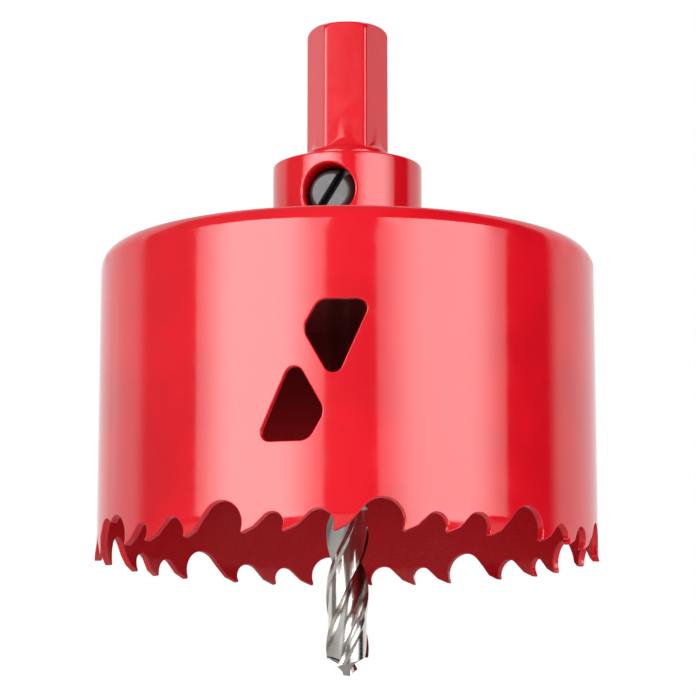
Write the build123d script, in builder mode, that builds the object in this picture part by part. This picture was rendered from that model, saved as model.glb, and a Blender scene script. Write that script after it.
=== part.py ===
"""Hole saw with a hexagonal shank, a clamped pilot drill and a welded band of set teeth.

Millimetres. The axis is Z and the shank points up. The origin is on the axis, on the collar's
top face, where the shank begins. Angles are measured round the axis from the front (-Y),
positive towards +X, and every tooth cuts towards falling angles.
"""

import os
from math import asin, atan2, cos, degrees, hypot, pi, radians, sin, tan

from build123d import *

# ---- heights -------------------------------------------------------------------------------
shank_length = 22.0
collar_height = 14.5
cup_height = 46.0  # tooth tips to the top of the closed end
drill_reach = 17.2  # pilot drill beyond the tooth tips

# ---- saw band ------------------------------------------------------------------------------
band_diameter = 75.0
band_wall = 1.1
shoulder_height = 2.2  # the weld round the closed end, ground to a slope
land_width = 2.0  # relief behind each tooth's tip
land_rise = 0.75
rake_angle = 8.0
first_tooth_angle = -58.7
tooth_groups = 10
# one group of three gullets: degrees from tooth to tooth, depth and bottom radius
fine_pitch, fine_depth, fine_radius = 9.5, 2.7, 1.6
middle_pitch, middle_depth, middle_radius = 10.8, 3.0, 2.05
coarse_pitch, coarse_depth, coarse_radius = 15.05, 4.6, 3.15
# of each group, one tooth is bent outwards, the next inwards and the third stays straight
set_outward = 0.5
set_inward = 0.4
bend_height = 2.4  # teeth are bent below this height above their tips
seam_angle = -66.2  # the weld that closes the strip into a ring

# ---- windows, in pairs that turn into each other by half a turn ----------------------------
window_pairs = 3
window_pair_angle = -7.26
window_pair_height = 22.5  # middle of a pair above the tooth tips
window_shift = 3.3  # from the middle of a pair round the wall to each window's own middle
window_edge = 9.95  # from the middle of a pair to the flat edge
window_flat = (-2.55, 4.9)  # the flat edge's two corners
window_point = (-0.43, -2.14)
window_side = (-4.9, 5.85)
window_radii = (1.6, 1.0, 1.3, 1.5)

# ---- base plate ----------------------------------------------------------------------------
plate_thickness = 4.0
spigot_diameter = 16.0

# ---- arbor ---------------------------------------------------------------------------------
collar_diameter = 22.85
collar_chamfer = 0.45
shank_across_flats = 10.9
shank_across_corners = 12.0
shank_turn = -4.0
shank_chamfer = 1.5
root_radius = 4.8  # hollow between the collar and the shank
root_inset = 0.03  # the hollow ends this far inside the flats
screw_angle = -15.3
screw_drop = 5.9  # screw axis below the collar's top face
drill_bore_depth = 18.0  # from the plate's underside

# ---- set screw -----------------------------------------------------------------------------
screw_diameter = 8.0
screw_clearance = 0.05
screw_recess = 1.7
screw_chamfer = 1.1
slot_width = 1.15
slot_depth = 2.0
slot_turn = 57.0

# ---- pilot drill ---------------------------------------------------------------------------
drill_diameter = 6.35
drill_clearance = 0.025
drill_end_gap = 0.3
drill_end_chamfer = 0.4
drill_point_angle = 118.0
helix_angle = 30.0
flute_length = 23.0
flute_opening = 94.0
flute_turn = 0.0  # direction of a flute's mouth at the tooth tips, from +X
web_thickness = 1.2

# ---- places that follow --------------------------------------------------------------------
plate_top = -collar_height
plate_bottom = plate_top - plate_thickness
tip_plane = plate_top - cup_height
drill_tip = tip_plane - drill_reach
bore_end = plate_bottom + drill_bore_depth
drill_top = bore_end - drill_end_gap
band_radius = band_diameter / 2
band_inside = band_radius - band_wall
drill_radius = drill_diameter / 2
bore_radius = drill_radius + drill_clearance
screw_radius = screw_diameter / 2
collar_radius = collar_diameter / 2
blank_drop = 0.3  # the strip before toothing, below the tips
cutter_drop = 1.0
tooth_gap = 0.5  # degrees left free at a gullet's bottom between two bent teeth


def around(angle):
    """Unit vectors at an angle round the axis: outwards, and along the wall."""
    out = Vector(sin(radians(angle)), -cos(radians(angle)), 0)
    along = Vector(cos(radians(angle)), sin(radians(angle)), 0)
    return out, along


def wall_plane(angle, height):
    """A plane on the band's outside: x runs round the wall, y up, and it faces outwards."""
    out, along = around(angle)
    return Plane(origin=out * band_radius + Vector(0, 0, height), x_dir=along, z_dir=out)


def section_plane(angle):
    """A plane through the axis: x is the radius and y the height."""
    out, along = around(angle)
    return Plane(origin=(0, 0, 0), x_dir=out, z_dir=-along)


def gullet_bottom(depth, radius):
    """Centre of a gullet's round bottom, measured from the tip of the tooth that follows it."""
    rake = radians(rake_angle)
    face = (depth - radius - radius * sin(rake)) / cos(rake)
    return face * sin(rake) - radius * cos(rake), depth - radius, face


def draw_gullet(pitch, depth, radius):
    """One gap between two teeth: land, sloping back, round bottom and the next raked face."""
    rake = radians(rake_angle)
    half = band_radius * sin(radians(pitch) / 2)
    centre_x, centre_y, face = gullet_bottom(depth, radius)
    centre = (half + centre_x, centre_y)
    land_end = (land_width - half, land_rise)
    reach = (centre[0] - land_end[0], centre[1] - land_end[1])
    slope = atan2(reach[1], reach[0]) + asin(radius / hypot(*reach))
    back_end = (centre[0] - radius * sin(slope), centre[1] + radius * cos(slope))
    high = (centre[0] + radius * cos(pi / 4), centre[1] + radius * sin(pi / 4))
    face_top = (half + face * sin(rake), face * cos(rake))
    start = (-half - cutter_drop, -cutter_drop * land_rise / land_width)
    end = (half - cutter_drop * tan(rake), -cutter_drop)
    Polyline(face_top, end, (start[0], end[1]), start, land_end, back_end)
    ThreePointArc(back_end, high, face_top)


# ---- the toothed band ----------------------------------------------------------------------
# a gullet's form, and the set of the tooth that it leads up to
fine = (fine_pitch, fine_depth, fine_radius, set_outward)
middle = (middle_pitch, middle_depth, middle_radius, -set_inward)
coarse = (coarse_pitch, coarse_depth, coarse_radius, 0.0)

# The gullets in order along the strip, each with the angle of the tooth that it leads up to.
# The strip begins and ends within a coarse gullet, and the two meet at the weld.
group_forms = (fine, middle, coarse)
gullets = [(first_tooth_angle, coarse)]
for _ in range(tooth_groups):
    for form in group_forms:
        gullets.append((gullets[-1][0] + form[0], form))


def bottom_angle(gullet):
    """The angle at the middle of a gullet's round bottom."""
    tooth_angle, (_, depth, radius, _) = gullet
    return tooth_angle + degrees(gullet_bottom(depth, radius)[0] / band_radius)


with BuildPart() as saw_band:
    with BuildSketch(section_plane(seam_angle)):
        with BuildLine():
            ground = TangentArc(
                (band_radius, plate_top - shoulder_height), (band_inside, plate_top), tangent=(0, 1)
            )
            Polyline(
                ground @ 1,
                (band_inside, tip_plane - blank_drop),
                (band_radius, tip_plane - blank_drop),
                ground @ 0,
            )
        make_face()
    revolve(axis=Axis.Z)

    # the edge is taken away below the bend where two bent teeth stand
    for group in range(tooth_groups):
        start, straight = (bottom_angle(gullets[len(group_forms) * group + n]) for n in (1, 3))
        with BuildSketch(section_plane(start)):
            with BuildLine():
                Polyline(
                    (band_inside - band_wall, tip_plane + bend_height),
                    (band_radius + band_wall, tip_plane + bend_height),
                    (band_radius + band_wall, tip_plane - 2 * blank_drop),
                    (band_inside - band_wall, tip_plane - 2 * blank_drop),
                    close=True,
                )
            make_face()
        revolve(axis=Axis.Z, revolution_arc=straight - start, mode=Mode.SUBTRACT)

    # and put back leaning outwards or inwards, one tooth at a time
    for gullet, following in zip(gullets, gullets[1:]):
        set_over = gullet[1][3]
        if set_over:
            lean = set_over * (bend_height + blank_drop) / bend_height
            start = bottom_angle(gullet) + tooth_gap
            end = bottom_angle(following) - tooth_gap
            with BuildSketch(section_plane(start)):
                with BuildLine():
                    Polyline(
                        (band_inside, tip_plane + bend_height),
                        (band_radius, tip_plane + bend_height),
                        (band_radius + lean, tip_plane - blank_drop),
                        (band_inside + lean, tip_plane - blank_drop),
                        close=True,
                    )
                make_face()
            revolve(axis=Axis.Z, revolution_arc=end - start)

    for tooth_angle, (pitch, depth, radius, _) in gullets:
        with BuildSketch(wall_plane(tooth_angle - pitch / 2, tip_plane)):
            with BuildLine():
                draw_gullet(pitch, depth, radius)
            make_face()
        extrude(amount=2 * band_wall, both=True, mode=Mode.SUBTRACT)

    for pair in range(window_pairs):
        for side in (1, -1):
            turn = degrees(side * window_shift / band_radius)
            angle = window_pair_angle + 360 / window_pairs * pair + turn
            with BuildSketch(wall_plane(angle, tip_plane + window_pair_height)):
                with BuildLine():
                    FilletPolyline(
                        (side * window_flat[0], side * window_edge),
                        (side * window_flat[1], side * window_edge),
                        (side * window_point[0], side * window_point[1]),
                        (side * window_side[0], side * window_side[1]),
                        radius=window_radii,
                        close=True,
                    )
                make_face()
            extrude(amount=2 * band_wall, both=True, mode=Mode.SUBTRACT)

# ---- the plate that closes the band --------------------------------------------------------
with BuildPart() as base_plate:
    with BuildSketch(Plane.XY.offset(plate_bottom)):
        Circle(band_inside)
        Circle(spigot_diameter / 2, mode=Mode.SUBTRACT)
    extrude(amount=plate_thickness)

# ---- the arbor: shank, collar and spigot in one bar ----------------------------------------
screw_out, screw_along = around(screw_angle)
screw_height = Vector(0, 0, -screw_drop)
bore_plane = Plane(origin=screw_height + screw_out * bore_radius / 2, x_dir=screw_along, z_dir=screw_out)

with BuildPart() as arbor:
    with BuildSketch(Plane.XY):
        RegularPolygon(shank_across_flats / 2, 6, major_radius=False, rotation=shank_turn)
    extrude(amount=shank_length)
    with BuildSketch(Plane.XZ):
        with BuildLine():
            Polyline(
                (0, 0),
                (shank_across_corners / 2, 0),
                (shank_across_corners / 2, shank_length - shank_chamfer),
                (shank_across_corners / 2 - shank_chamfer, shank_length),
                (0, shank_length),
                close=True,
            )
        make_face()
    revolve(axis=Axis.Z, mode=Mode.INTERSECT)
    with BuildSketch(Plane.XZ):
        neck = shank_across_flats / 2 - root_inset
        lowest = neck + root_radius - root_radius * cos(pi / 4)
        with BuildLine():
            Polyline((neck, root_radius), (0, root_radius), (0, plate_bottom))
            Polyline(
                (0, plate_bottom),
                (spigot_diameter / 2, plate_bottom),
                (spigot_diameter / 2, plate_top),
                (collar_diameter / 2, plate_top),
                (collar_diameter / 2, -collar_chamfer),
                (collar_diameter / 2 - collar_chamfer, 0),
                (neck + root_radius, 0),
            )
            ThreePointArc(
                (neck + root_radius, 0),
                (lowest, root_radius - root_radius * sin(pi / 4)),
                (neck, root_radius),
            )
        make_face()
    revolve(axis=Axis.Z)
    with BuildSketch(Plane.XY.offset(plate_bottom)):
        Circle(bore_radius)
    extrude(amount=drill_bore_depth, mode=Mode.SUBTRACT)
    with BuildSketch(bore_plane):
        Circle(screw_radius + screw_clearance)
    extrude(amount=collar_radius, mode=Mode.SUBTRACT)

# ---- the screw that clamps the drill -------------------------------------------------------
screw_outer = collar_radius - screw_recess
screw_inner = drill_radius + screw_clearance
screw_plane = Plane(
    origin=screw_height + screw_out * screw_inner, x_dir=screw_along, z_dir=screw_out
)
with BuildPart() as set_screw:
    with BuildSketch(screw_plane):
        Circle(screw_radius)
    extrude(amount=screw_outer - screw_inner)
    chamfer(set_screw.edges().filter_by(GeomType.CIRCLE), length=screw_chamfer)
    with BuildSketch(screw_plane.offset(screw_outer - screw_inner - slot_depth)):
        Rectangle(screw_diameter, slot_width, rotation=slot_turn)
    extrude(amount=2 * slot_depth, mode=Mode.SUBTRACT)

# ---- the pilot drill -----------------------------------------------------------------------
flute_half = radians(flute_opening) / 2
flute_mouth = drill_radius * sin(flute_half)
flute_sink = drill_radius * cos(flute_half) - web_thickness / 2
flute_radius = (flute_mouth**2 + flute_sink**2) / (2 * flute_sink)
helix_pitch = pi * drill_diameter / tan(radians(helix_angle))
point_height = drill_radius / tan(radians(drill_point_angle / 2))
flute_start = drill_tip - 1
flute_end = drill_tip + flute_length
start_turn = flute_turn + 360 * (flute_start - tip_plane) / helix_pitch
twist = 360 * (flute_end - flute_start) / helix_pitch

with BuildPart() as pilot_drill:
    with BuildSketch(Plane.XZ):
        with BuildLine():
            Polyline(
                (0, drill_tip),
                (drill_radius, drill_tip + point_height),
                (drill_radius, drill_top - drill_end_chamfer),
                (drill_radius - drill_end_chamfer, drill_top),
                (0, drill_top),
                close=True,
            )
        make_face()
    revolve(axis=Axis.Z)
    for half_turn in (0, 180):
        with BuildSketch(Plane.XY.offset(flute_start), mode=Mode.PRIVATE) as flute:
            with PolarLocations(web_thickness / 2 + flute_radius, 1, start_angle=start_turn + half_turn):
                Circle(flute_radius)
        cutter = Solid.extrude_linear_with_rotation(
            flute.sketch.faces()[0], (0, 0, flute_start), (0, 0, flute_end - flute_start), twist
        )
        add(cutter, mode=Mode.SUBTRACT)

# ---- files ---------------------------------------------------------------------------------
saw_band.part.label = "saw_band"
base_plate.part.label = "base_plate"
arbor.part.label = "arbor"
set_screw.part.label = "set_screw"
pilot_drill.part.label = "pilot_drill"

os.makedirs("parts", exist_ok=True)
export_step(saw_band.part, "parts/saw_band.step")
export_step(base_plate.part, "parts/base_plate.step")
export_step(arbor.part, "parts/arbor.step")
export_step(set_screw.part, "parts/set_screw.step")
export_step(pilot_drill.part, "parts/pilot_drill.step")
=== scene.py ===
# %% [markdown]
# # A painted hole saw with its arbor and pilot drill
#
# The tool is a steel strip, toothed and rolled into a ring, welded round a plate and sprayed red. An arbor with a
# hexagonal shank carries it, and a slotted screw in the collar clamps a bare twist drill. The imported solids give
# every place and size, so this lesson only dresses them: each piece is a surface worked out with numpy, in
# millimetres, and the finish comes from shader nodes. We begin by loading the solids and keeping their box.

# %% Load the frame
import math

import bpy
import numpy as np
from mathutils.geometry import delaunay_2d_cdt
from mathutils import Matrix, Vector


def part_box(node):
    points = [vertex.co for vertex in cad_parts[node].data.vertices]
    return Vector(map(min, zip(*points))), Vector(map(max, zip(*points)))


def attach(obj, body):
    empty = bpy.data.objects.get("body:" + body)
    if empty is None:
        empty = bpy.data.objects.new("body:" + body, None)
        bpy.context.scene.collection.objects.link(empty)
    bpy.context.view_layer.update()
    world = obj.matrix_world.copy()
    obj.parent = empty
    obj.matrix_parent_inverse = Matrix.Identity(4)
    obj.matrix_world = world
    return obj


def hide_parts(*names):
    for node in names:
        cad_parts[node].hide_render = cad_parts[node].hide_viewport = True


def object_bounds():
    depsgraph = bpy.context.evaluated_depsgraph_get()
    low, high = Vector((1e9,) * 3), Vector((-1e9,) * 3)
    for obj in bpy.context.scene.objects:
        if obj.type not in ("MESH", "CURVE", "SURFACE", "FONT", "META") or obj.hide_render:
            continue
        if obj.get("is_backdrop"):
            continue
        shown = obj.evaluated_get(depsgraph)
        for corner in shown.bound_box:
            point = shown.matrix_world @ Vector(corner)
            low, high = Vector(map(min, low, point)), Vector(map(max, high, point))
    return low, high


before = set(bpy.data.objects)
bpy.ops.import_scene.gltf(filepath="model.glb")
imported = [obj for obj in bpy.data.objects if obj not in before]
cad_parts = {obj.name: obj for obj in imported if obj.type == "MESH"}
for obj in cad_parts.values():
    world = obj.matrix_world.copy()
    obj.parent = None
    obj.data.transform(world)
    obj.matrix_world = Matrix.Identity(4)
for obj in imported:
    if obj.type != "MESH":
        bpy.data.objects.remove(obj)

cad_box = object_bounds()
MM = 0.001


def node_range(node):
    """Lowest and highest corner of a solid, in millimetres."""
    low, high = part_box(node)
    return np.array(low) / MM, np.array(high) / MM


plate_low, plate_high = node_range("base_plate")
arbor_low, arbor_high = node_range("arbor")
screw_low, screw_high = node_range("set_screw")
drill_low, drill_high = node_range("pilot_drill")
_, band_high = node_range("saw_band")
SCREW_ANGLE = -15.3  # the way the screw's axis points, in degrees from the front
print("whole tool, mm:", [round(float(v) / MM, 1) for v in cad_box[1] - cad_box[0]])

# %% [markdown]
# ## Angles and meshes
#
# Everything on this tool is arranged round one axis, so places are given by an angle from the front of the tool,
# positive towards +X. Two small helpers do all the mesh work. The first lists the four-sided faces of a grid of
# points. The second welds points that fall on each other, so that seams and poles are closed, and fills a Blender
# mesh from whole arrays. It can take the exact normal at each point, which keeps a long reflection smooth where the
# triangles under it are uneven.

# %% Mesh helpers


def around(angle):
    """Unit vectors at an angle in degrees: outwards (sin a, -cos a, 0) and along the wall (cos a, sin a, 0)."""
    turn = np.radians(angle)
    zero = np.zeros_like(turn, dtype=float)
    out = np.stack([np.sin(turn), -np.cos(turn), zero], -1)
    along = np.stack([np.cos(turn), np.sin(turn), zero], -1)
    return out, along


def grid_faces(rows, columns, wrap=True, start=0):
    """Faces of a grid: (row, column), (row, column + 1), (row + 1, column + 1), (row + 1, column)."""
    index = np.arange(rows * columns).reshape(rows, columns) + start
    right = np.roll(index, -1, axis=1)
    if not wrap:
        index, right = index[:, :-1], right[:, :-1]
    return np.stack([index[:-1], right[:-1], right[1:], index[1:]], -1).reshape(-1, 4)


def weld(points, faces, normals=None):
    """Points that round to the same tenth of a micrometre become one, and faces that lose their area go."""
    _, first, same = np.unique(np.round(points, 4), axis=0, return_index=True, return_inverse=True)
    same = same.reshape(-1)
    kept = []
    for group in faces:
        group = same[group]
        if group.shape[1] == 4:
            left, right = group[:, 0] == group[:, 1], group[:, 2] == group[:, 3]
            front, back = group[:, 1] == group[:, 2], group[:, 3] == group[:, 0]
            kept.append(group[left | front][:, [0, 2, 3]])
            kept.append(group[(right | back) & ~(left | front)][:, [0, 1, 2]])
            group = group[~(left | right | front | back)]
        kept.append(group)
    flat = [group[np.all(group != np.roll(group, 1, axis=1), axis=1)] for group in kept]
    return points[first], [group for group in flat if len(group)], None if normals is None else normals[first]


def make_piece(name, node, points, faces, finish, normals=None):
    """A welded mesh in metres that stands for a solid, rides on the tool and has one finish."""
    points, faces, normals = weld(points, faces, normals)
    mesh = bpy.data.meshes.new(name)
    corners = np.concatenate([group.reshape(-1) for group in faces])
    sizes = np.concatenate([np.full(len(group), group.shape[1]) for group in faces])
    mesh.vertices.add(len(points))
    mesh.vertices.foreach_set("co", (points * MM).astype(np.float32).reshape(-1))
    mesh.loops.add(len(corners))
    mesh.loops.foreach_set("vertex_index", corners.astype(np.int32))
    mesh.polygons.add(len(sizes))
    mesh.polygons.foreach_set("loop_start", np.concatenate([[0], np.cumsum(sizes)[:-1]]).astype(np.int32))
    mesh.update(calc_edges=True)
    mesh.validate()
    mesh.shade_smooth()
    if normals is not None:
        mesh.normals_split_custom_set_from_vertices(normals.tolist())
    mesh.materials.append(finish)
    piece = bpy.data.objects.new(name, mesh)
    bpy.context.scene.collection.objects.link(piece)
    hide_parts(node)
    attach(piece, "root")
    print(name, "has", int((sizes - 2).sum()), "triangles")
    return piece


# %% [markdown]
# ## Sheet metal with holes
#
# The band and the collar's wall are both a rolled skin with holes in it. A grid can't hold a hole neatly, so the
# skin is laid out flat instead: the outline of the metal and of each hole is drawn in two numbers, the distance
# round the wall and the height, and a constrained Delaunay triangulation fills what lies between them. The triangles
# are then carried on to the cylinder. Paint rounds every cut edge, so the triangulation stops a little short of the
# outline, and a narrow strip turns over the edge in a quarter of a circle.

# %% Outlines


def soften(corners, radii, steps=6):
    """A closed outline with round corners. Each arc touches its two sides radius * tan(turn / 2) from the corner."""
    back = corners - np.roll(corners, 1, axis=0)
    ahead = np.roll(corners, -1, axis=0) - corners
    back_length = np.linalg.norm(back, axis=1)
    ahead_length = np.linalg.norm(ahead, axis=1)
    back, ahead = back / back_length[:, None], ahead / ahead_length[:, None]
    cross = back[:, 0] * ahead[:, 1] - back[:, 1] * ahead[:, 0]
    turn = np.arctan2(cross, np.sum(back * ahead, axis=1))
    radii = np.where(np.abs(turn) < 0.02, 0.0, radii)
    reach = radii * np.tan(np.abs(turn) / 2)
    side = np.sign(turn)
    inward = np.stack([-back[:, 1], back[:, 0]], -1) * side[:, None]
    centre = corners - back * reach[:, None] + inward * radii[:, None]
    share = np.linspace(0, 1, steps)
    swing = turn[:, None] * share
    spoke = -inward * radii[:, None]
    arc = np.stack(
        [
            centre[:, None, 0] + spoke[:, None, 0] * np.cos(swing) - spoke[:, None, 1] * np.sin(swing),
            centre[:, None, 1] + spoke[:, None, 0] * np.sin(swing) + spoke[:, None, 1] * np.cos(swing),
        ],
        -1,
    )
    keep = np.ones(arc.shape[:2], bool)
    keep[radii == 0, 1:] = False
    return arc[keep]


def subdivide(outline, step, closed=True):
    """The same outline with no side longer than step: side number n gets ceil(length / step) equal parts."""
    following = np.roll(outline, -1, axis=0) if closed else outline[1:]
    start = outline if closed else outline[:-1]
    parts = np.maximum(1, np.ceil(np.linalg.norm(following - start, axis=1) / step)).astype(int)
    side = np.repeat(np.arange(len(parts)), parts)
    share = (np.arange(len(side)) - np.repeat(np.cumsum(parts) - parts, parts)) / parts[side]
    points = start[side] + (following - start)[side] * share[:, None]
    return points if closed else np.concatenate([points, outline[-1:]])


def into_metal(outline, closed=True):
    """Unit vectors at an outline's points, to its left, where the metal is."""
    if closed:
        tangent = np.roll(outline, -1, axis=0) - np.roll(outline, 1, axis=0)
    else:
        tangent = np.gradient(outline, axis=0)
    tangent /= np.linalg.norm(tangent, axis=1)[:, None]
    return np.stack([-tangent[:, 1], tangent[:, 0]], -1)


def inside(points, outline):
    """Even-odd rule: a point is inside when a ray to its right crosses the outline an odd number of times."""
    x, y = points[:, 0, None], points[:, 1, None]
    x1, y1 = outline[:, 0], outline[:, 1]
    x2, y2 = np.roll(x1, -1), np.roll(y1, -1)
    crosses = (y1 > y) != (y2 > y)
    with np.errstate(divide="ignore", invalid="ignore"):
        at = (x2 - x1) * (y - y1) / (y2 - y1) + x1
    return (np.sum(crosses & (x < at), axis=1) % 2).astype(bool)


def fill(border, holes, lattice, clearance):
    """Triangles between a border and its holes, through those lattice points that stay clear of the outlines."""
    rims = np.concatenate([border] + holes)
    parts = np.array_split(lattice, 1 + len(lattice) // 500)
    near = [np.linalg.norm(part[:, None] - rims, axis=2).min(axis=1) < clearance for part in parts]
    free = lattice[~np.concatenate(near)]
    free = free[inside(free, border)]
    for hole in holes:
        free = free[~inside(free, hole)]
    loops, count = [], 0
    for loop in [border] + holes:
        index = np.arange(len(loop)) + count
        loops.append(np.stack([index, np.roll(index, -1)], -1))
        count += len(loop)
    points = np.concatenate([rims, free])
    result = delaunay_2d_cdt(points.tolist(), np.concatenate(loops).tolist(), [], 1, 1e-7)
    flat = points[[origin[0] for origin in result[3]]]
    triangles = np.array(result[2])
    middle = flat[triangles].mean(axis=1)
    for hole in holes:
        triangles = triangles[~inside(middle, hole)]
        middle = flat[triangles].mean(axis=1)
    first, second, third = flat[triangles].transpose(1, 0, 2)
    area = (second[:, 0] - first[:, 0]) * (third[:, 1] - first[:, 1])
    area -= (second[:, 1] - first[:, 1]) * (third[:, 0] - first[:, 0])
    triangles[area < 0] = triangles[area < 0][:, ::-1]
    return flat, triangles[np.abs(area) > 1e-9]


def skin_normals(flat, depth, place, step=0.01):
    """Outward unit normals, from the cross product of small steps round the wall and up."""
    s, h = flat.T
    sideways = place(s + step, h, depth) - place(s - step, h, depth)
    upwards = place(s, h + step, depth) - place(s, h - step, depth)
    normals = np.cross(sideways, upwards)
    return normals / np.linalg.norm(normals, axis=1)[:, None]


def rim_strip(outline, inward, closed, profile, place):
    """The strip over a cut edge: points, faces and normals.

    Each row of the profile is (inset, depth, lean): how far the strip lies inside the outline, how deep under
    the skin, and the angle of its normal, which is 0 on the skin, a quarter turn on the cut and a half turn inside.
    """
    points, normals = [], []
    for inset, depth, lean in profile:
        flat = outline + inward * inset
        here = place(*flat.T, depth)
        metal = place(*(flat + inward * 0.01).T, depth) - here
        metal /= np.linalg.norm(metal, axis=1)[:, None]
        points.append(here)
        normals.append(math.cos(lean) * skin_normals(flat, depth, place) - math.sin(lean) * metal)
    faces = grid_faces(len(profile), len(outline), wrap=closed)[:, ::-1]
    return np.concatenate(points), faces, np.concatenate(normals)


def quarter_round(radius, steps=4):
    """From the skin over to the cut edge: inset radius * (1 - sin t), depth radius * (1 - cos t), lean t."""
    turn = np.linspace(0, math.pi / 2, steps)
    return list(zip(radius * (1 - np.sin(turn)), radius * (1 - np.cos(turn)), turn))


def assemble(parts):
    """Joins (points, faces, normals) parts into one set, renumbering the faces."""
    offsets = np.cumsum([0] + [len(points) for points, _, _ in parts[:-1]])
    faces = [group + offset for (_, group, _), offset in zip(parts, offsets)]
    return np.concatenate([p for p, _, _ in parts]), faces, np.concatenate([n for _, _, n in parts])


# %% [markdown]
# ## Shader maths
#
# A material is a formula over the surface. Written node by node such a formula is hard to read, so a small class
# wraps a socket and lets Python's own operators add the Math nodes. A finish then reads like the sentence that
# describes it.

# %% Formulas as nodes


class Value:
    """A node's result. Sums and products of it are Math nodes."""

    def __init__(self, owner, socket):
        self.owner, self.socket = owner, socket

    def maths(self, operation, *terms):
        return self.owner.node("ShaderNodeMath", {"operation": operation}, dict(enumerate(terms)))

    def __add__(self, other):
        return self.maths("ADD", self, other)

    def __mul__(self, other):
        return self.maths("MULTIPLY", self, other)

    __radd__ = __add__
    __rmul__ = __mul__

    def ramp(self, low, high, out_low=0.0, out_high=1.0):
        """A smooth rise from out_low to out_high while the number goes from low to high."""
        settings = {"interpolation_type": "SMOOTHSTEP"}
        return self.owner.node("ShaderNodeMapRange", settings, {0: self, 1: low, 2: high, 3: out_low, 4: out_high})


class Tree:
    """The node tree of a material, a lamp or the world, which is built up by formulas."""

    def __init__(self, owner):
        owner.use_nodes = True
        self.tree = owner.node_tree

    def fill(self, node, inputs):
        """Gives a node's sockets their values, which are numbers, colours or other nodes' results."""
        for name, value in inputs.items():
            if isinstance(value, Value):
                self.tree.links.new(value.socket, node.inputs[name])
            else:
                node.inputs[name].default_value = value

    def node(self, kind, settings, inputs, output=0):
        """A new node with its settings and its sockets' values. One of its results comes back."""
        made = self.tree.nodes.new(kind)
        for name, value in settings.items():
            setattr(made, name, value)
        self.fill(made, inputs)
        return Value(self, made.outputs[output])


class Finish(Tree):
    """A material on one shader."""

    def __init__(self, name):
        self.material = bpy.data.materials.new(name)
        super().__init__(self.material)
        self.shader = self.tree.nodes["Principled BSDF"]
        self.places = self.node("ShaderNodeTexCoord", {}, {}, "Object")

    def noise(self, size, detail=2.0, roughness=0.5, stretch=(1, 1, 1), seed=0.0):
        """Noise whose largest grains are size millimetres across, drawn out along each axis by stretch."""
        scale = tuple(1 / s for s in stretch)
        moved = self.node("ShaderNodeMapping", {}, {"Vector": self.places, "Scale": scale, "Location": (seed, 0, 0)})
        inputs = {"Vector": moved, "Scale": 1 / (size * MM), "Detail": detail, "Roughness": roughness}
        return self.node("ShaderNodeTexNoise", {}, inputs)

    def blend(self, share, first, second):
        """A colour that goes from first to second as share goes from 0 to 1."""
        inputs = {0: share, 6: first, 7: second}
        return self.node("ShaderNodeMix", {"data_type": "RGBA"}, inputs, 2)

    def bump(self, height, distance):
        """A surface raised by height times distance millimetres."""
        inputs = {"Height": height, "Distance": distance * MM, "Strength": 1.0}
        return self.node("ShaderNodeBump", {}, inputs)

    def set(self, **sockets):
        """Values and links of the shader's sockets; an underscore stands for a space."""
        self.fill(self.shader, {name.replace("_", " "): value for name, value in sockets.items()})
        return self.material


# %% [markdown]
# ## Red paint
#
# The paint is a gloss enamel over bare steel. A clear coat would be one way to get the gloss, but the coat layer of
# the shader ignores the bump, and it is the faint orange peel that makes sprayed paint look sprayed. So the gloss is
# the shader's own reflection, with a bump in it. The index of 1.6 is that of a pigmented enamel.

# %% Paint


def red_paint(name, red, roughness, peel, seed, inside=None):
    """Enamel: colour that drifts a little, orange peel of two sizes, and roughness that follows the coarse one.

    `inside` takes the distance from the axis and the height, in metres, and gives 1 on the inner surfaces of the cup.
    There a grain of spray dust breaks a reflection up, and the colour carries painted shade: from a deep red near the
    mouth it darkens to a dark red from the lower height of INNER_SHADE_HEIGHTS to the upper one, in millimetres.
    """
    finish = Finish(name)
    drift = finish.noise(14, 2, 0.5, seed=seed)
    coarse = finish.noise(2.6, 1, 0.4, seed=seed + 3)
    fine = finish.noise(0.5, 1, 0.5, seed=seed + 7)
    dark = tuple(0.88 * channel for channel in red) + (1,)
    colour = finish.blend(drift.ramp(0.35, 0.65), dark, tuple(red) + (1,))
    height = coarse * 0.75 + fine * 0.25
    gloss = coarse.ramp(0.3, 0.7, roughness * 0.85, roughness * 1.2)
    if inside:
        square = finish.node("ShaderNodeVectorMath", {"operation": "MULTIPLY"}, {0: finish.places, 1: (1, 1, 0)})
        length = finish.node("ShaderNodeVectorMath", {"operation": "LENGTH"}, {0: square}, 1)
        up = finish.node("ShaderNodeSeparateXYZ", {}, {0: finish.places}, 2)
        inner = inside(length, up)
        dust = finish.noise(0.22, 2, 0.6, seed=seed + 11)
        height = height + inner * dust.ramp(0.35, 0.65) * DUST_HEIGHT
        gloss = gloss + inner * 0.3
        # Painted shade: the inner colour darkens with height, up inside the cup towards the plate.
        inner_shade = up.ramp(INNER_SHADE_HEIGHTS[0] * MM, INNER_SHADE_HEIGHTS[1] * MM)
        shaded_inner_colour = finish.blend(inner_shade, (red[0], 0.0, red[2] * 0.6, 1), (red[0] * 0.16, 0.0, 0.002, 1))
        colour = finish.blend(inner, colour, shaded_inner_colour)
    return finish.set(Base_Color=colour, Roughness=gloss, IOR=1.6, Normal=finish.bump(height, peel))


RED = (0.82, 0.006, 0.018)
DUST_HEIGHT = 2.5
# Heights in millimetres between which the painted shade inside the cup darkens.
INNER_SHADE_HEIGHTS = (-54, -16)
inner_face = plate_high[0] + 0.4  # between the two skins of the band, and a little past the plate's edge
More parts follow.
